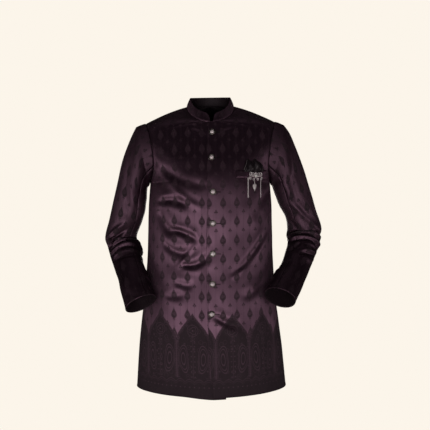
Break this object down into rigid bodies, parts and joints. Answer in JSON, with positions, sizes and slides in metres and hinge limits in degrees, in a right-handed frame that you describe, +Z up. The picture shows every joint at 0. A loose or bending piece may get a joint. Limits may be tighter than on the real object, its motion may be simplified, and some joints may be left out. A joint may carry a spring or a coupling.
{
  "type": "sherwani coat",
  "caption": "Short sherwani coat in worn form, with a stand collar, lapped front with shank buttons, bent two-piece sleeves, welt breast pocket and hanging pocket brooch.",
  "frame": {"origin": "on the centre line, inside the neck, at the level where the shoulder seams meet the neckline, where the wearer's neck and shoulders hold the coat up", "axes": "+Z up, the front faces -Y, +X is the wearer's left"},
  "size_m": [0.688, 0.316, 0.9239],
  "materials": {
    "jacquard": "satin-ground jacquard with small woven motifs and a patterned hem border",
    "square_cloth": "soft dark satin",
    "button_bezel": "dark bronze, worn bright on the edges",
    "button_dome": "polished silver dome",
    "silver": "silver, darker in the hollows",
    "pearl": "pearl sheen"
  },
  "bodies": {
    "coat": {"front_left": "jacquard", "front_right": "jacquard", "back_left": "jacquard", "back_right": "jacquard", "sleeve_upper_left": "jacquard", "sleeve_under_left": "jacquard", "sleeve_upper_right": "jacquard", "sleeve_under_right": "jacquard", "collar": "jacquard", "pocket_welt": "jacquard", "pocket_square": "square_cloth", "button_1_bezel": "button_bezel", "button_1_dome": "button_dome", "button_2_bezel": "button_bezel", "button_2_dome": "button_dome", "button_3_bezel": "button_bezel", "button_3_dome": "button_dome", "button_4_bezel": "button_bezel", "button_4_dome": "button_dome", "button_5_bezel": "button_bezel", "button_5_dome": "button_dome", "button_6_bezel": "button_bezel", "button_6_dome": "button_dome", "button_7_bezel": "button_bezel", "button_7_dome": "button_dome", "brooch_plate": "silver", "brooch_stone": "pearl"},
    "drop": {"brooch_drop": "silver"},
    "strand_left": {"chain_strand_left": "silver"},
    "strand_right": {"chain_strand_right": "silver"}
  },
  "joints": [
    {"name": "drop_swing", "type": "hinge", "parent": "coat", "child": "drop", "pos_m": [0.12886, -0.10847, -0.236], "axis": [0.5669, -0.8238, 0], "range_deg": [-10, 10]},
    {"name": "strand_left_swing", "type": "hinge", "parent": "coat", "child": "strand_left", "pos_m": [0.10853, -0.1224, -0.229], "axis": [0.4685, -0.8835, 0], "range_deg": [-12, 12]},
    {"name": "strand_right_swing", "type": "hinge", "parent": "coat", "child": "strand_right", "pos_m": [0.14919, -0.09435, -0.232], "axis": [0.665, -0.7469, 0], "range_deg": [-12, 12]}
  ]
}
